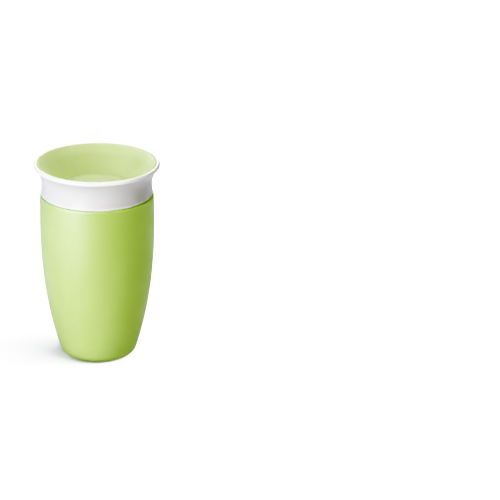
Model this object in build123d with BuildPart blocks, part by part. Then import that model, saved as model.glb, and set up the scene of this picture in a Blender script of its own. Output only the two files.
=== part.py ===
from build123d import *
from math import cos, degrees, pi, radians, sin, sqrt
import os

# Spill-proof sippy cup that is drunk from anywhere round its rim.
#
# It comes apart into four pieces, all turned about the Z axis:
#   cup_body       the drinking cup, with a threaded neck inside its shoulder
#   collar_seal    the flat silicone washer between the neck and the collar
#   screw_collar   the screw-on ring with the flared drinking lip and the valve seat
#   sip_valve      the soft dish whose edge closes against the inside of the lip
#
# Units are millimetres. The origin is the centre of the base, on the table, and +Z is up.

# ---- Overall size ----
total_height = 134.0
lip_radius = 42.0               # outermost point of the drinking lip
body_radius = 38.05             # widest part of the cup
body_widest_z = 95.0
shoulder_radius = 37.75
shoulder_z = 112.4              # ledge that the collar's skirt comes down to
skirt_radius = 37.25            # lower edge of the collar
waist_radius = 36.7             # narrowest part of the collar, where the lip starts to flare
waist_z = total_height - 14.1

# ---- Cup body ----
wall = 2.0
standing_radius = 17.9          # outer edge of the ring that the cup stands on
foot_fillet = 8.0
foot_lean = radians(18.0)       # lean of the wall from the vertical just above the foot
foot_handle = 30.7              # how far the wall keeps that lean, as a curve handle
belly_handle = 31.2             # how far the wall stays upright below its widest part
shoulder_edge = 1.2
inner_shoulder_z = 103.5        # top of the parallel wall inside, where it turns in to the neck
inner_shoulder_handle = 3.6
recess_radius = 13.0
recess_depth = 1.2
floor_z = 3.4
inner_foot_fillet = 6.0
gate_radius = 2.2               # moulding gate in the middle of the base
gate_step = 0.5
foot_edge = 0.5

# ---- Neck and thread ----
neck_top_z = 118.8
neck_radius = 33.8
neck_bore_radius = 32.2
neck_bore_length = 7.6
neck_edge = 0.5
thread_starts = 2
thread_lead = 6.0
thread_height = 1.15
thread_root_width = 1.5
thread_crest_width = 0.7
thread_sink = 0.4               # how far a ridge's root is buried in its wall
thread_end_sink = 0.1           # how far a ridge's crest is buried at its two ends
thread_mesh_depth = 0.6         # share of the ridge's height at which the two threads bear
thread_inset = 0.4              # from each end of the neck to the nearest edge of a ridge
thread_fade = 26.0              # degrees over which a ridge runs out at each end
thread_step = 9.0               # degrees between the sections of a ridge
thread_bearing_gap = 0.3        # axial gap between a cup ridge and the collar ridge under it

# ---- Collar ----
skirt_gap = 0.06                # between the skirt's lower edge and the cup's shoulder
skirt_edges = (0.3, 1.0)        # rounding of its lower edge, inside and outside
skirt_bore_radius = 35.2
inner_flare_z = total_height - 10.5     # where the bore starts to flare
lip_bead_radius = 1.5
shelf_top_z = total_height - 12.3
shelf_z = total_height - 13.9
seat_floor_top_z = total_height - 18.2
seat_floor_z = total_height - 19.7
plug_ring_z = total_height - 17.0
plug_ring_radii = (31.2, 31.8)
boss_radius = 15.0              # raised centre of the seat, under the valve's button
boss_top_z = total_height - 15.7
seat_wall = 1.5
seat_overlap = 0.5              # how far the seat's parts run into the walls that hold them
seat_pocket_radius = 26.3       # flat floor under the valve's foot
seat_pocket_edge = (0.6, 1.0)   # slope round that floor, across and up
seat_shelf_radius = 30.3        # inner edge of the shelf, over the windows
seat_underside_radii = (27.8, 31.3)     # foot and head of the sloping underside
hub_bore_radius = 5.0
hub_bottom_z = total_height - 20.5
window_count = 8
window_radii = (26.9, 30.9)
window_span = 31.0              # degrees, without its rounded ends

# ---- Seal ----
seal_radii = (31.95, 34.8)
seal_edge = 0.3

# ---- Valve ----
valve_edge_radius = 39.1
valve_edge_z = total_height - 0.66
valve_edge_thickness = 0.65
valve_wall = 1.1
valve_wall_slope = 0.70         # radius gained for each millimetre of height
valve_knee = (34.1, total_height - 6.0)     # where the wall starts to flare, underside
valve_flare_handles = (2.4, 2.0)            # of the curve from the knee out to the edge
valve_foot_radius = 25.3
valve_heel = 1.2                # from the valve's foot up to its wall, on the underside
valve_floor_top_z = total_height - 17.0
valve_floor_fillet = 1.8
valve_foot_fillet = 0.8
button_radius = 16.9
button_top_z = total_height - 14.0
button_wall = 1.4
button_fillets = (0.7, 0.8)     # at its foot and round its top
dimple_radii = (11.0, 13.4)     # bottom and rim of the shallow dish in the button
dimple_depth = 0.6
dimple_fillet = 2.0
boss_clearance = 0.35
stem_radius = 4.92
stem_bottom_z = total_height - 23.6
stem_chamfer = 0.7


def near(sketch, r, z):
    """The corner of a section nearest to radius r and height z."""
    return sketch.vertices().sort_by_distance(Vector(r, z))[0]


def wall_side(inset, bottom_z, fillet_radius, top_z):
    """Foot fillet, barrel and shoulder of the cup's wall, from the bottom outwards and up.

    inset is how far inside the outer surface the curves lie, and the shoulder's arc ends at top_z.
    """
    across = Vector(cos(foot_lean), -sin(foot_lean))
    along = Vector(sin(foot_lean), cos(foot_lean))
    outer_start = Vector(standing_radius, foot_fillet) + across * foot_fillet
    centre_z = bottom_z + fillet_radius
    reach = outer_start.dot(across) - inset - fillet_radius
    centre = Vector((reach + sin(foot_lean) * centre_z) / cos(foot_lean), centre_z)
    start = centre + across * fillet_radius
    widest = Vector(body_radius - inset, body_widest_z)
    foot = CenterArc(centre, fillet_radius, -90, 90 - degrees(foot_lean))
    barrel = Bezier(start, start + along * foot_handle, widest - Vector(0, belly_handle), widest)
    narrowing = (body_radius - shoulder_radius) * (
        (top_z - body_widest_z) / (shoulder_z - body_widest_z)
    ) ** 2
    shoulder = TangentArc(widest, widest + Vector(-narrowing, top_z - body_widest_z), tangent=(0, 1))
    return foot, barrel, shoulder


def thread_ridge(wall_radius, crest_radius, start_z, end_z, start_angle):
    """One raised thread, faded out at both ends, from start_z up to end_z along its middle."""
    sweep_angle = (end_z - start_z) / thread_lead * 360
    count = round(sweep_angle / thread_step)
    outward = 1 if crest_radius > wall_radius else -1
    root = wall_radius - outward * thread_sink
    with BuildPart() as ridge:
        for i in range(count + 1):
            turned = sweep_angle * i / count
            run_out = min(turned, sweep_angle - turned, thread_fade) / thread_fade
            share = sin(run_out * pi / 2)
            crest_height = share * (thread_height + thread_end_sink) - thread_end_sink
            crest = wall_radius + outward * crest_height
            angle = radians(start_angle + turned)
            radial = Vector(cos(angle), sin(angle))
            middle = start_z + thread_lead * turned / 360
            section_plane = Plane((0, 0, middle), x_dir=radial, z_dir=(sin(angle), -cos(angle), 0))
            crest_width = thread_root_width + (thread_crest_width - thread_root_width) * share
            with BuildSketch(section_plane):
                with BuildLine():
                    Polyline(
                        (root, -thread_root_width / 2),
                        (crest, -crest_width / 2),
                        (crest, crest_width / 2),
                        (root, thread_root_width / 2),
                        close=True,
                    )
                make_face()
        loft()
    return ridge.part


def threads(wall_radius, crest_radius, start_z, end_z, start_angle):
    """All the starts of one thread."""
    step = 360 / thread_starts
    return [
        thread_ridge(wall_radius, crest_radius, start_z, end_z, start_angle + step * i)
        for i in range(thread_starts)
    ]


# Both threads keep half a ridge and a small margin inside the neck's height.
thread_pitch = thread_lead / thread_starts
thread_margin = thread_inset + thread_root_width / 2
cup_thread_z = (shoulder_z + thread_margin, neck_top_z - thread_margin)
collar_thread_z = (shoulder_z + skirt_gap + thread_margin, neck_top_z - thread_margin)
ridge_width_in_mesh = thread_root_width - (thread_root_width - thread_crest_width) * thread_mesh_depth
collar_ridge_drop = ridge_width_in_mesh + thread_bearing_gap
collar_thread_angle = (collar_thread_z[0] + collar_ridge_drop - cup_thread_z[0]) / thread_lead * 360

# ---- Cup body ----
cup_ridges = threads(neck_radius, neck_radius + thread_height, *cup_thread_z, 0)

with BuildPart() as cup_body:
    with BuildSketch(Plane.XZ) as cup_section:
        with BuildLine():
            base = Polyline(
                (0, recess_depth - gate_step),
                (gate_radius, recess_depth - gate_step),
                (gate_radius + gate_step, recess_depth),
                (recess_radius, recess_depth),
                (recess_radius + recess_depth, 0),
                (standing_radius, 0),
            )
            outer_shoulder = wall_side(0, 0, foot_fillet, shoulder_z)[-1]
            rim = Polyline(
                outer_shoulder @ 1,
                (neck_radius, shoulder_z),
                (neck_radius, neck_top_z),
                (neck_bore_radius, neck_top_z),
                (neck_bore_radius, neck_top_z - neck_bore_length),
            )
            inner_side = wall_side(wall, floor_z, inner_foot_fillet, inner_shoulder_z)
            inner_top = inner_side[-1] @ 1
            Bezier(
                inner_top,
                inner_top + Vector(0, inner_shoulder_handle),
                rim @ 1 - Vector(0, inner_shoulder_handle),
                rim @ 1,
            )
            Polyline(inner_side[0] @ 0, (0, floor_z), base @ 0)
        make_face()
        fillet(near(cup_section, shoulder_radius, shoulder_z), shoulder_edge)
        fillet(near(cup_section, neck_radius, neck_top_z), neck_edge)
        fillet(near(cup_section, neck_bore_radius, neck_top_z), neck_edge)
        fillet(near(cup_section, recess_radius + recess_depth, 0), foot_edge)
    revolve(axis=Axis.Z)
    add(cup_ridges)
cup_body.part.label = "cup_body"

# ---- Seal ----
with BuildPart() as collar_seal:
    with BuildSketch(Plane.XZ) as seal_section:
        with Locations((seal_radii[0], neck_top_z)):
            Rectangle(
                seal_radii[1] - seal_radii[0],
                shelf_z - neck_top_z,
                align=(Align.MIN, Align.MIN),
            )
        fillet(seal_section.vertices(), seal_edge)
    revolve(axis=Axis.Z)
collar_seal.part.label = "collar_seal"

# ---- Collar ----
# The flare's outer and inner curves are arcs that start upright and run smoothly into the lip's bead.
bead_centre = Vector(lip_radius - lip_bead_radius, total_height - lip_bead_radius)


def flare(start, side):
    """Middle and end of the arc from start to the bead, met from outside (side 1) or round it (-1)."""
    rise = bead_centre.Y - start.Y
    reach = bead_centre.X - start.X
    radius = (rise**2 + reach**2 - lip_bead_radius**2) / (2 * (reach + side * lip_bead_radius))
    centre = start + Vector(radius, 0)
    end = bead_centre + (centre - bead_centre).normalized() * side * lip_bead_radius
    middle = Vector(centre.X - sqrt(radius**2 - (rise / 2) ** 2), start.Y + rise / 2)
    return middle, end


waist = Vector(waist_radius, waist_z)
inner_flare_start = Vector(skirt_bore_radius, inner_flare_z)
outer_flare_middle, outer_flare_end = flare(waist, 1)
inner_flare_middle, inner_flare_end = flare(inner_flare_start, -1)


def seat_ring(r_low, r_high, z_low, z_high):
    """A plain ring of the collar's section."""
    with Locations((r_low, z_low)):
        Rectangle(r_high - r_low, z_high - z_low, align=(Align.MIN, Align.MIN))


skirt_bottom_z = shoulder_z + skirt_gap
collar_ridges = threads(
    skirt_bore_radius, skirt_bore_radius - thread_height, *collar_thread_z, collar_thread_angle
)

with BuildPart() as screw_collar:
    with BuildSketch(Plane.XZ) as collar_section:
        with BuildLine():
            skirt_corner = Vector(skirt_radius, skirt_bottom_z)
            TangentArc(waist, skirt_corner, tangent=(0, -1))
            ThreePointArc(waist, outer_flare_middle, outer_flare_end)
            bead_side = Vector(lip_radius, bead_centre.Y)
            bead_top = Vector(bead_centre.X, total_height)
            ThreePointArc(outer_flare_end, bead_side, bead_top)
            TangentArc(bead_top, inner_flare_end, tangent=(-1, 0))
            ThreePointArc(inner_flare_end, inner_flare_middle, inner_flare_start)
            Polyline(inner_flare_start, (skirt_bore_radius, skirt_bottom_z), skirt_corner)
        make_face()
        fillet(near(collar_section, skirt_radius, skirt_bottom_z), skirt_edges[1])
        fillet(near(collar_section, skirt_bore_radius, skirt_bottom_z), skirt_edges[0])
        # Shelf over the seal, the ring that centres the seal, and the seat under the valve.
        shelf_joint_radius = seat_underside_radii[1] + seat_overlap
        seat_ring(window_radii[1], skirt_bore_radius + seat_overlap, shelf_z, shelf_top_z)
        seat_ring(*plug_ring_radii, plug_ring_z, shelf_z)
        with BuildLine():
            Polyline(
                (boss_radius, seat_floor_z),
                (boss_radius, seat_floor_top_z),
                (seat_pocket_radius, seat_floor_top_z),
                (seat_pocket_radius + seat_pocket_edge[0], seat_floor_top_z + seat_pocket_edge[1]),
                (seat_shelf_radius, shelf_top_z),
                (shelf_joint_radius, shelf_top_z),
                (shelf_joint_radius, shelf_z),
                (seat_underside_radii[1], shelf_z),
                (seat_underside_radii[0], seat_floor_z),
                close=True,
            )
        make_face()
        seat_ring(boss_radius - seat_wall, boss_radius, seat_floor_z, boss_top_z)
        seat_ring(hub_bore_radius, boss_radius, boss_top_z - seat_wall, boss_top_z)
        seat_ring(hub_bore_radius, hub_bore_radius + seat_wall, hub_bottom_z, boss_top_z)
    revolve(axis=Axis.Z)
    # Windows that let the drink up under the valve.
    with BuildSketch(Plane.XY.offset(seat_floor_z - seat_overlap)):
        with PolarLocations(0, window_count):
            window_arc = CenterArc(
                (0, 0), sum(window_radii) / 2, -window_span / 2, window_span, mode=Mode.PRIVATE
            )
            SlotArc(window_arc, window_radii[1] - window_radii[0])
    extrude(amount=shelf_top_z - seat_floor_z + 2 * seat_overlap, mode=Mode.SUBTRACT)
    add(collar_ridges)
screw_collar.part.label = "screw_collar"

# ---- Valve ----
knee = Vector(*valve_knee)
slope_along = Vector(valve_wall_slope, 1).normalized()
slope_across = Vector(-slope_along.Y, slope_along.X)
edge_under = Vector(valve_edge_radius, valve_edge_z)
edge_along = Vector(1, 1).normalized()
edge_over = edge_under + Vector(-edge_along.Y, edge_along.X) * valve_edge_thickness
knee_handle = slope_along * valve_flare_handles[0]
edge_handle = edge_along * valve_flare_handles[1]
wall_drop = knee.Y - (seat_floor_top_z + valve_heel)
under_foot = knee - Vector(valve_wall_slope, 1) * wall_drop
over_knee = knee + slope_across * valve_wall
over_drop = over_knee.Y - valve_floor_top_z
over_foot = over_knee - Vector(valve_wall_slope, 1) * over_drop

with BuildPart() as sip_valve:
    with BuildSketch(Plane.XZ) as valve_section:
        with BuildLine():
            Polyline(
                (0, stem_bottom_z),
                (stem_radius - stem_chamfer, stem_bottom_z),
                (stem_radius, stem_bottom_z + stem_chamfer),
                (stem_radius, button_top_z - button_wall),
                (boss_radius + boss_clearance, button_top_z - button_wall),
                (boss_radius + boss_clearance, seat_floor_top_z),
                (valve_foot_radius, seat_floor_top_z),
                under_foot,
                knee,
            )
            Bezier(knee, knee + knee_handle, edge_under - edge_handle, edge_under)
            edge_tip = (edge_under + edge_over) / 2 + edge_along * valve_edge_thickness / 2
            ThreePointArc(edge_under, edge_tip, edge_over)
            Bezier(edge_over, edge_over - edge_handle, over_knee + knee_handle, over_knee)
            Polyline(
                over_knee,
                over_foot,
                (button_radius, valve_floor_top_z),
                (button_radius, button_top_z),
                (dimple_radii[1], button_top_z),
                (dimple_radii[0], button_top_z - dimple_depth),
                (0, button_top_z - dimple_depth),
                (0, stem_bottom_z),
            )
        make_face()
        fillet(near(valve_section, over_foot.X, over_foot.Y), valve_floor_fillet)
        fillet(near(valve_section, button_radius, valve_floor_top_z), button_fillets[0])
        fillet(near(valve_section, button_radius, button_top_z), button_fillets[1])
        fillet(near(valve_section, dimple_radii[1], button_top_z), dimple_fillet)
        fillet(near(valve_section, dimple_radii[0], button_top_z - dimple_depth), dimple_fillet)
        fillet(near(valve_section, valve_foot_radius, seat_floor_top_z), valve_foot_fillet)
    revolve(axis=Axis.Z)
sip_valve.part.label = "sip_valve"

os.makedirs("parts", exist_ok=True)
for piece in (cup_body, collar_seal, screw_collar, sip_valve):
    export_step(piece.part, f"parts/{piece.part.label}.step")
    box = piece.part.bounding_box()
    print(piece.part.label, "volume", round(piece.part.volume / 1000, 2), "cm3", box.min, box.max)
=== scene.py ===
from math import cos, radians, sin

import bpy
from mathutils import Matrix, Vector

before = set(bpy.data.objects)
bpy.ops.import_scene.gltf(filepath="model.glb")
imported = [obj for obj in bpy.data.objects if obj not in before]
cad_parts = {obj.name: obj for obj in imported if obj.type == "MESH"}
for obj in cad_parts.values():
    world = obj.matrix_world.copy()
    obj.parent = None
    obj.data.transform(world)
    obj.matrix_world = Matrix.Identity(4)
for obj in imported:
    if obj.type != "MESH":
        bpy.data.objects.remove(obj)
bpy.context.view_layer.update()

# Looks and setting for the sippy cup. Every piece is the CAD's own: this script gives each one its
# material, and adds the floor, the camera and the lights. Lengths are metres, with +Z up and the base on
# the floor at z = 0. Places on the parts are in millimetres: heights above the floor, and radii about the
# cup's axis.

MM = 0.001
CUP_MIDDLE = (0.0, 0.0, 0.07)


# ---- Material nodes ----

class Surface:
    """A Principled material under construction, with short calls for the nodes it is made of.

    A mask is 1 where something shows and 0 elsewhere.
    """

    def __init__(self, name, **sockets):
        self.material = bpy.data.materials.new(name)
        self.material.use_nodes = True
        self.nodes = self.material.node_tree.nodes
        self.links = self.material.node_tree.links
        self.shader = self.nodes["Principled BSDF"]
        for socket, value in sockets.items():
            self.shader.inputs[socket.replace("_", " ")].default_value = value
        self.place = self.add("TexCoord").outputs["Object"]
        split = self.add("SeparateXYZ", Vector=self.place)
        self.z = split.outputs["Z"]
        flat = self.add("CombineXYZ", X=split.outputs["X"], Y=split.outputs["Y"])
        length = self.add("VectorMath", operation="LENGTH", sockets={0: flat.outputs[0]})
        self.radius = length.outputs["Value"]

    def add(self, kind, sockets=None, **settings):
        """A node of that kind. Settings named like a socket go to the socket."""
        node = self.nodes.new("ShaderNode" + kind)
        for name, value in settings.items():
            if hasattr(node, name):
                setattr(node, name, value)
        for name, value in settings.items():
            if not hasattr(node, name):
                self.feed(node.inputs[name], value)
        for name, value in (sockets or {}).items():
            self.feed(node.inputs[name], value)
        return node

    def feed(self, socket, value):
        """Links a node's output to the socket, or sets a plain value on it."""
        if isinstance(value, bpy.types.NodeSocket):
            self.links.new(value, socket)
        else:
            socket.default_value = value

    def math(self, operation, a, b):
        return self.add("Math", operation=operation, sockets={0: a, 1: b}).outputs[0]

    def times(self, a, b):
        return self.math("MULTIPLY", a, b)

    # Patterns

    def noise(self, scale, detail=3.0, roughness=0.55, at=None):
        sockets = {"Vector": at or self.place, "Scale": scale, "Detail": detail, "Roughness": roughness}
        return self.add("TexNoise", sockets=sockets).outputs[0]

    def specks(self, scale, size):
        """Small round spots."""
        node = self.add("TexVoronoi", feature="F1", Vector=self.place, Scale=scale)
        return self.step(node.outputs["Distance"], size, size * 0.5)

    def drawn_out(self, stretch):
        """The object's own coordinates: a pattern is long round the part over 1, and long up it under 1."""
        sockets = {0: self.place, 1: (1.0, 1.0, stretch)}
        return self.add("VectorMath", operation="MULTIPLY", sockets=sockets).outputs["Vector"]

    def hairlines(self, scale, stretch, amount):
        """Fine scratches in patches, drawn out as above."""
        lines = self.noise(scale, detail=4.0, roughness=0.7, at=self.drawn_out(stretch))
        patches = self.noise(60.0, detail=2.0)
        return self.both(self.step(lines, 0.66, 0.72), self.step(patches, 0.62 - amount, 0.72 - amount))

    # Masks

    def step(self, value, start, end, low=0.0, high=1.0):
        """A soft step of value: low at start and before it, high at end and past it."""
        sockets = {0: value, 1: start, 2: end, 3: low, 4: high}
        return self.add("MapRange", interpolation_type="SMOOTHSTEP", clamp=True, sockets=sockets).outputs[0]

    def band(self, value, start, end, soft):
        """1 between start and end, falling to 0 over soft on either side."""
        rise = self.step(value, start - soft, start)
        fall = self.step(value, end, end + soft, 1.0, 0.0)
        return self.times(rise, fall)

    def height_past(self, start, end):
        """Everything past start, whole from end on: upward where end is the higher, and downward if not."""
        return self.step(self.z, start * MM, end * MM)

    def radius_past(self, start, end):
        """The same, outward or inward from the axis."""
        return self.step(self.radius, start * MM, end * MM)

    def height_band(self, start, end, soft):
        return self.band(self.z, start * MM, end * MM, soft * MM)

    def radius_band(self, start, end, soft):
        return self.band(self.radius, start * MM, end * MM, soft * MM)

    def both(self, *masks):
        """Where all the masks are."""
        total = masks[0]
        for mask in masks[1:]:
            total = self.times(total, mask)
        return total

    def either(self, *masks):
        """Where any of the masks is."""
        total = masks[0]
        for mask in masks[1:]:
            total = self.math("MAXIMUM", total, mask)
        return total

    # Results

    def blend(self, factor, first, second):
        """Two colours, mixed by factor."""
        sockets = {0: factor, 6: first, 7: second}
        return self.add("Mix", data_type="RGBA", sockets=sockets).outputs[2]

    def tinted(self, base, mask, amount, tint):
        """The base colour with some of a tint where the mask is."""
        return self.blend(self.times(mask, amount), base, tint)

    def bump(self, height, depth, strength, below=None):
        """Relief that is depth millimetres high, on top of any relief below."""
        sockets = {"Height": height, "Distance": depth * MM, "Strength": strength}
        if below:
            sockets["Normal"] = below
        return self.add("Bump", sockets=sockets).outputs["Normal"]

    def finish(self, base, roughness, normal):
        self.feed(self.shader.inputs["Base Color"], base)
        self.feed(self.shader.inputs["Roughness"], roughness)
        self.feed(self.shader.inputs["Normal"], normal)
        return self.material


def colour(r, g, b):
    return (r, g, b, 1.0)


# ---- Materials ----

def cup_plastic():
    """Satin green plastic: faint flow lines, a fine grain, pale worn edges with a painted highlight along
    the shoulder, painted light on the ledge under the collar, and a rubbed belly and foot.
    """
    s = Surface(
        "cup_plastic",
        Specular_IOR_Level=1.0,
        IOR=1.5,
        Subsurface_Weight=0.12,
        Subsurface_Scale=0.003,
        Subsurface_Radius=(0.8, 1.0, 0.3),
        Coat_Weight=0.35,
        Coat_Roughness=0.4,
    )
    cloud = s.step(s.noise(22.0), 0.35, 0.65)
    flow = s.step(s.noise(9.0, detail=2.0, at=s.drawn_out(0.25)), 0.4, 0.6, 0.0, 0.5)
    grain = s.noise(2200.0, detail=2.0)
    green = s.blend(cloud, colour(0.381, 0.475, 0.163), colour(0.403, 0.502, 0.181))
    green = s.blend(flow, green, colour(0.389, 0.484, 0.154))
    green = s.blend(s.step(grain, 0.3, 0.7, 0.0, 0.10), green, colour(0.319, 0.405, 0.118))

    # Painted light on the ledge that the collar's skirt stands over, lifting the shade under the skirt; the
    # edges that hands and the thread wear pale, with a painted highlight along the shoulder's edge.
    painted_light_ledge = s.both(s.height_past(112.15, 112.35), s.radius_past(35.3, 35.6))
    # The shoulder band carries a painted highlight line as well as wear.
    shoulder = s.both(s.height_band(111.5, 112.5, 0.5), s.radius_past(35.4, 35.9))
    ridges = s.both(s.height_past(112.6, 113.0), s.radius_past(34.5, 34.95))
    rim = s.height_band(118.45, 119.0, 0.25)
    wear_and_highlight_edges = s.both(s.either(shoulder, ridges, rim), s.step(s.noise(300.0), 0.25, 0.6, 0.35, 1.0))
    foot = s.both(s.height_past(1.6, 0.1), s.radius_past(13.6, 14.4))
    foot = s.both(foot, s.step(s.noise(420.0), 0.38, 0.60))
    belly = s.times(s.both(s.hairlines(420.0, 9.0, 0.06), s.height_band(70.0, 103.0, 22.0)), 0.45)
    # Painted light: the ledge is lightened to lift the shade that falls under the collar's skirt.
    green = s.tinted(green, painted_light_ledge, 0.8, colour(0.72, 0.84, 0.45))
    green = s.tinted(green, foot, 0.4, colour(0.53, 0.65, 0.34))
    # Partly real wear on the thread's crests and the neck's rim, partly a painted highlight along the
    # shoulder's edge.
    green = s.tinted(green, wear_and_highlight_edges, 0.5, colour(0.53, 0.68, 0.30))
    green = s.tinted(green, belly, 0.5, colour(0.50, 0.64, 0.27))

    rubbed = s.either(foot, belly)
    roughness = s.step(s.noise(70.0, detail=4.0), 0.3, 0.7, 0.44, 0.52)
    roughness = s.math("ADD", roughness, s.times(rubbed, 0.16))
    normal = s.bump(s.noise(130.0, detail=1.0), 0.05, 0.5)
    normal = s.bump(grain, 0.012, 0.7, below=normal)
    normal = s.bump(s.either(belly, foot), -0.01, 0.6, below=normal)
    return s.finish(green, roughness, normal)


def collar_plastic():
    """Glossier white plastic, with painted glow at its hem and thin lip, hairlines round the skirt and a
    tinged seat.
    """
    s = Surface(
        "collar_plastic",
        Specular_IOR_Level=0.5,
        IOR=1.5,
        Subsurface_Weight=0.15,
        Subsurface_Scale=0.003,
        Subsurface_Radius=(1.0, 0.9, 0.7),
        Coat_Weight=0.25,
        Coat_Roughness=0.22,
    )
    cloud = s.step(s.noise(18.0), 0.35, 0.65)
    grain = s.noise(2600.0, detail=2.0)
    white = s.blend(cloud, colour(0.539, 0.532, 0.465), colour(0.559, 0.552, 0.485))
    white = s.blend(s.step(grain, 0.35, 0.7, 0.0, 0.06), white, colour(0.478, 0.466, 0.42))

    # The seat takes a tinge from the drink; the skirt's hem and the thin lip get painted light, a glow that
    # lifts the shade under the skirt and on the bead.
    seat = s.both(s.radius_past(33.5, 31.5), s.step(s.noise(150.0, detail=4.0), 0.45, 0.7))
    hem = s.both(s.height_past(114.6, 113.3), s.radius_past(35.6, 35.9))
    painted_glow_lip = s.both(s.height_past(131.2, 132.6), s.radius_past(38.4, 39.6))
    white = s.tinted(white, seat, 0.12, colour(0.57, 0.58, 0.43))
    # Painted light: the hem is whitened to stand in for light under the skirt.
    white = s.tinted(white, hem, 0.55, colour(0.80, 0.80, 0.76))
    # Painted light: the thin lip is whitened to lift the shade on the bead.
    white = s.tinted(white, painted_glow_lip, 0.8, colour(0.76, 0.75, 0.70))

    # Marks: upright ones on the lip and outer wall, level ones on the skirt, and dabs on the hem.
    outer_wall = s.radius_past(36.0, 36.3)
    lip = s.height_band(132.2, 134.2, 0.8)
    lip_marks = s.both(s.either(lip, s.times(outer_wall, 0.3)), s.hairlines(700.0, 0.5, 0.10))
    skirt_marks = s.both(s.hairlines(520.0, 12.0, 0.05), s.height_band(113.0, 122.0, 2.0), outer_wall)
    hem_marks = s.both(hem, s.step(s.noise(380.0), 0.4, 0.65))
    marks = s.either(lip_marks, s.times(skirt_marks, 0.6), hem_marks)
    white = s.tinted(white, marks, 0.30, colour(0.57, 0.56, 0.50))

    roughness = s.step(s.noise(80.0, detail=4.0), 0.3, 0.7, 0.28, 0.37)
    roughness = s.math("ADD", roughness, s.times(marks, 0.2))
    normal = s.bump(s.noise(160.0, detail=1.0), 0.03, 0.5)
    normal = s.bump(grain, 0.006, 0.6, below=normal)
    normal = s.bump(marks, -0.012, 0.6, below=normal)
    return s.finish(white, roughness, normal)


def valve_silicone():
    """Soft green silicone: matt grain, a little lint, a painted glow on the thin edge and a worn button
    rim.
    """
    s = Surface(
        "valve_silicone",
        Specular_IOR_Level=0.45,
        IOR=1.41,
        Subsurface_Weight=0.30,
        Subsurface_Scale=0.0025,
        Subsurface_Radius=(0.8, 1.0, 0.45),
        Sheen_Weight=0.12,
        Sheen_Roughness=0.5,
    )
    cloud = s.step(s.noise(30.0), 0.35, 0.65)
    painted_glow_edge = s.both(s.height_past(130.5, 133.6), s.radius_past(36.4, 38.4))
    button_rim = s.both(s.radius_band(15.2, 17.0, 0.5), s.height_past(119.3, 119.9))
    worn = s.both(button_rim, s.step(s.noise(260.0, detail=4.0), 0.40, 0.62))
    lint = s.both(s.specks(420.0, 0.10), s.step(s.noise(45.0), 0.52, 0.60))
    grain = s.noise(3000.0, detail=2.0)
    green = s.blend(cloud, colour(0.598, 0.670, 0.385), colour(0.629, 0.702, 0.410))
    # Painted light: the thin edge is brightened as if lit through the silicone.
    green = s.tinted(green, painted_glow_edge, 0.30, colour(0.70, 0.80, 0.40))
    green = s.tinted(green, worn, 0.30, colour(0.71, 0.81, 0.42))
    green = s.tinted(green, lint, 0.45, colour(0.77, 0.83, 0.57))
    green = s.blend(s.step(grain, 0.35, 0.7, 0.0, 0.10), green, colour(0.49, 0.61, 0.18))

    roughness = s.step(s.noise(90.0, detail=4.0), 0.3, 0.7, 0.46, 0.58)
    roughness = s.math("SUBTRACT", roughness, s.times(button_rim, 0.06))
    normal = s.bump(s.noise(140.0, detail=1.5), 0.06, 0.5)
    normal = s.bump(grain, 0.010, 0.8, below=normal)
    normal = s.bump(lint, 0.02, 0.5, below=normal)
    return s.finish(green, roughness, normal)


def seal_silicone():
    """Milky silicone, with the mark that the neck's rim presses into it."""
    s = Surface(
        "seal_silicone",
        Specular_IOR_Level=0.4,
        IOR=1.41,
        Subsurface_Weight=0.35,
        Subsurface_Scale=0.002,
        Subsurface_Radius=(1.0, 0.95, 0.85),
    )
    cloud = s.step(s.noise(60.0), 0.35, 0.65)
    pressed = s.both(s.radius_band(32.3, 33.7, 0.25), s.step(s.noise(240.0), 0.35, 0.6))
    milky = s.blend(cloud, colour(0.775, 0.775, 0.740), colour(0.805, 0.800, 0.775))
    milky = s.tinted(milky, pressed, 0.25, colour(0.68, 0.68, 0.62))

    roughness = s.step(s.noise(120.0, detail=3.0), 0.3, 0.7, 0.50, 0.64)
    normal = s.bump(s.noise(2800.0, detail=2.0), 0.010, 0.8)
    normal = s.bump(pressed, -0.03, 0.6, below=normal)
    return s.finish(milky, roughness, normal)


def paint(node, material):
    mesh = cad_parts[node].data
    mesh.materials.clear()
    mesh.materials.append(material)


paint("cup_body", cup_plastic())
paint("screw_collar", collar_plastic())
paint("sip_valve", valve_silicone())
paint("collar_seal", seal_silicone())

# ---- Floor ----

FLOOR_SIDE = 8.0
PAPER_SEEN = colour(0.88, 0.88, 0.88)
PAPER_BOUNCE = colour(0.35, 0.35, 0.35)         # what the paper throws back on the cup


def floor_material():
    """Pale matt paper, which can be looked through from underneath."""
    material = bpy.data.materials.new("floor_paper")
    material.use_nodes = True
    nodes = material.node_tree.nodes
    links = material.node_tree.links
    shader = nodes["Principled BSDF"]
    shader.inputs["Roughness"].default_value = 0.9
    shader.inputs["Specular IOR Level"].default_value = 0.2

    ray = nodes.new("ShaderNodeLightPath")
    tone = nodes.new("ShaderNodeMix")
    tone.data_type = "RGBA"
    tone.inputs[6].default_value = PAPER_BOUNCE
    tone.inputs[7].default_value = PAPER_SEEN
    links.new(ray.outputs["Is Camera Ray"], tone.inputs[0])
    links.new(tone.outputs[2], shader.inputs["Base Color"])

    side = nodes.new("ShaderNodeNewGeometry")
    clear = nodes.new("ShaderNodeBsdfTransparent")
    mix = nodes.new("ShaderNodeMixShader")
    links.new(side.outputs["Backfacing"], mix.inputs[0])
    links.new(shader.outputs[0], mix.inputs[1])
    links.new(clear.outputs[0], mix.inputs[2])
    links.new(mix.outputs[0], nodes["Material Output"].inputs["Surface"])
    return material


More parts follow.
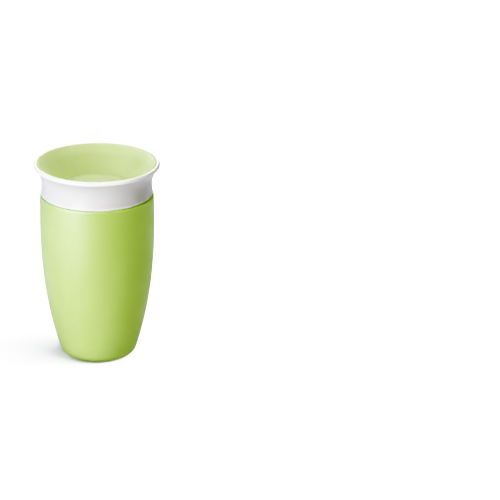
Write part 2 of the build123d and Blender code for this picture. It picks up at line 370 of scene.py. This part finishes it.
half = FLOOR_SIDE / 2
corners = [(-half, -half, 0), (half, -half, 0), (half, half, 0), (-half, half, 0)]
floor_mesh = bpy.data.meshes.new("floor")
floor_mesh.from_pydata(corners, [], [(0, 1, 2, 3)])
floor_mesh.materials.append(floor_material())
floor = bpy.data.objects.new("floor", floor_mesh)
bpy.context.scene.collection.objects.link(floor)

# ---- Camera ----

camera_data = bpy.data.cameras.new("camera")
camera_data.lens = 388.35
camera_data.sensor_width = 36.0
camera_data.clip_end = 20.0
camera = bpy.data.objects.new("camera", camera_data)
camera.location = (0.10141, -3.36546, 1.31579)
camera.rotation_euler = (radians(69.719), 0.0, 0.0)
bpy.context.scene.collection.objects.link(camera)
bpy.context.scene.camera = camera

# ---- Light ----
# The parts and the paper are lit apart, so that each keeps its own shade and the paper stays clean.

PLAIN = (1.0, 1.0, 1.0)
COOL = (1.04, 1.0, 1.34)
PALE_BLUE = (1.0, 1.0, 1.42)
CREAM = (1.0, 1.0, 0.85)
YELLOW = (1.0, 1.0, 0.3)
GREENISH = (0.83, 1.0, 0.14)

LOW_RISE = 10                   # degrees: a light under this is low and wide, to stay over the floor
LOW_SIZE = (0.8, 0.36)
HIGH_SIZE = (0.8, 0.8)
PAPER_SIZE = (1.2, 1.2)

# The lights of each part: turn and rise in degrees, power in watts, and tint.
PART_LIGHTS = {
    "body": (
        (-45, 25, 19.5, COOL),
        (-35, 3, 11.0, COOL),
        (-50, 3, 7.0, COOL),
        (-70, 3, 3.5, COOL),
        (45, 25, 8.5, GREENISH),
        (90, 25, 3.5, GREENISH),
        (180, 58, 10.0, PLAIN),
        (180, 25, 9.0, PLAIN),
    ),
    "collar": (
        (-35, 3, 24.5, PLAIN),
        (-45, 25, 15.0, PALE_BLUE),
        (0, 58, 6.0, CREAM),
        (45, 25, 2.0, YELLOW),
        (45, 58, 1.5, YELLOW),
        (180, 58, 10.0, CREAM),
        (180, 25, 10.0, CREAM),
        (0, 88, 6.0, PLAIN),
        (100, 70, 5.0, CREAM),
    ),
    "valve": (
        (-70, 25, 12.5, PLAIN),
        (45, 25, 8.5, CREAM),
        (-15, 3, 6.5, PLAIN),
        (-150, 25, 6.0, PLAIN),
        (90, 25, 5.0, CREAM),
        (-90, 58, 4.5, PLAIN),
        (160, 25, 4.5, PLAIN),
        (0, 58, 4.5, PLAIN),
        (-35, 3, 4.0, PLAIN),
        (-45, 58, 4.0, PLAIN),
        (180, 58, 4.0, PLAIN),
        (135, 58, 3.5, CREAM),
        (-45, 25, 2.5, PLAIN),
        (130, 25, 1.5, CREAM),
    ),
}
LIT_WITH = {"cup_body": "body", "collar_seal": "collar", "screw_collar": "collar", "sip_valve": "valve"}

# The lights of the paper: turn and rise in degrees, and power in watts.
PAPER_LIGHTS = (
    (90, 20, 62.0),
    (0, 88, 23.0),
    (-45, 20, 17.0),
    (135, 42, 16.0),
    (45, 42, 14.0),
    (-90, 42, 13.0),
    (60, 65, 6.0),
)

# A small panel under the paper lights the underside, which nothing else reaches.
UNDER_PLACE = (0.0, 0.0, -0.035)
UNDER_SIZE = (0.03, 0.03)
UNDER_POWER = 0.0065


def around(turn, rise, distance=2.2):
    """A place on a dome round the cup: turn is to the right as seen from the camera, in degrees."""
    turn = radians(turn)
    rise = radians(rise)
    flat = distance * cos(rise)
    return (flat * sin(turn), -flat * cos(turn), CUP_MIDDLE[2] + distance * sin(rise))


def group(name, *objects):
    """The objects that a set of lights reaches, or is shaded by."""
    members = bpy.data.collections.new(name)
    for thing in objects:
        members.objects.link(thing)
    return members


cup_parts = group("cup_parts", *(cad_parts[node] for node in LIT_WITH))


def soft_light(name, place, aim, size, power, lit, tint=PLAIN):
    """A soft panel that lights one group, with only the cup's parts to shade it."""
    light = bpy.data.lights.new(name, "AREA")
    light.shape = "RECTANGLE"
    light.size, light.size_y = size
    light.energy = power
    light.color = tint
    lamp = bpy.data.objects.new(name, light)
    lamp.location = place
    lamp.rotation_euler = (Vector(aim) - Vector(place)).to_track_quat("-Z", "Y").to_euler()
    lamp.light_linking.receiver_collection = lit
    lamp.light_linking.blocker_collection = cup_parts
    lamp.visible_camera = False
    bpy.context.scene.collection.objects.link(lamp)
    return lamp


for part, lamps in PART_LIGHTS.items():
    nodes = [node for node, light_set in LIT_WITH.items() if light_set == part]
    lit = group(f"{part}_only", *(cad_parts[node] for node in nodes))
    for number, (turn, rise, power, tint) in enumerate(lamps):
        size = LOW_SIZE if rise < LOW_RISE else HIGH_SIZE
        soft_light(f"{part}_{number}", around(turn, rise), CUP_MIDDLE, size, power, lit, tint)

lit = group("paper_only", floor)
for number, (turn, rise, power) in enumerate(PAPER_LIGHTS):
    soft_light(f"paper_{number}", around(turn, rise), (0.0, 0.0, 0.0), PAPER_SIZE, power, lit)

lit = group("underside_only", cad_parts["cup_body"])
under = soft_light("under", UNDER_PLACE, CUP_MIDDLE, UNDER_SIZE, UNDER_POWER, lit)
under.visible_glossy = False

# The world is a white backdrop that lights nothing.
world = bpy.data.worlds.new("studio")
world.use_nodes = True
backdrop = world.node_tree.nodes["Background"]
backdrop.inputs["Color"].default_value = colour(1.0, 1.0, 1.0)
ray = world.node_tree.nodes.new("ShaderNodeLightPath")
world.node_tree.links.new(ray.outputs["Is Camera Ray"], backdrop.inputs["Strength"])
bpy.context.scene.world = world

# ---- Contrast ----
# Scene light against shown light: deep shade sinks a little, and bright parts run softly into white.

CONTRAST = (
    (0.0, 0.0),
    (0.05, 0.010),
    (0.106, 0.040),
    (0.15, 0.105),
    (0.2, 0.192),
    (0.456, 0.70),
    (0.6, 0.885),
    (0.8, 0.968),
    (1.1, 1.0),
    (4.0, 1.0),
)
# The same for blue alone, after the step above: greens deepen in the shade and pale in the light.
BLUE_CONTRAST = (
    (0.0, 0.0),
    (0.065, 0.038),
    (0.107, 0.092),
    (0.216, 0.245),
    (0.43, 0.475),
    (0.7, 0.725),
    (1.0, 1.0),
)
BLUE_CURVE = 2
COMBINED_CURVE = 3


def bend(curve, shape):
    """Gives a tone curve the listed points."""
    points = curve.points
    points[0].location = shape[0]
    points[1].location = shape[-1]
    for place in shape[1:-1]:
        points.new(*place)
    for point in points:
        point.handle_type = "AUTO_CLAMPED"


settings = bpy.context.scene.view_settings
settings.view_transform = "Standard"
settings.use_curve_mapping = True
mapping = settings.curve_mapping
mapping.clip_max_x = CONTRAST[-1][0]
bend(mapping.curves[COMBINED_CURVE], CONTRAST)
bend(mapping.curves[BLUE_CURVE], BLUE_CONTRAST)
mapping.update()
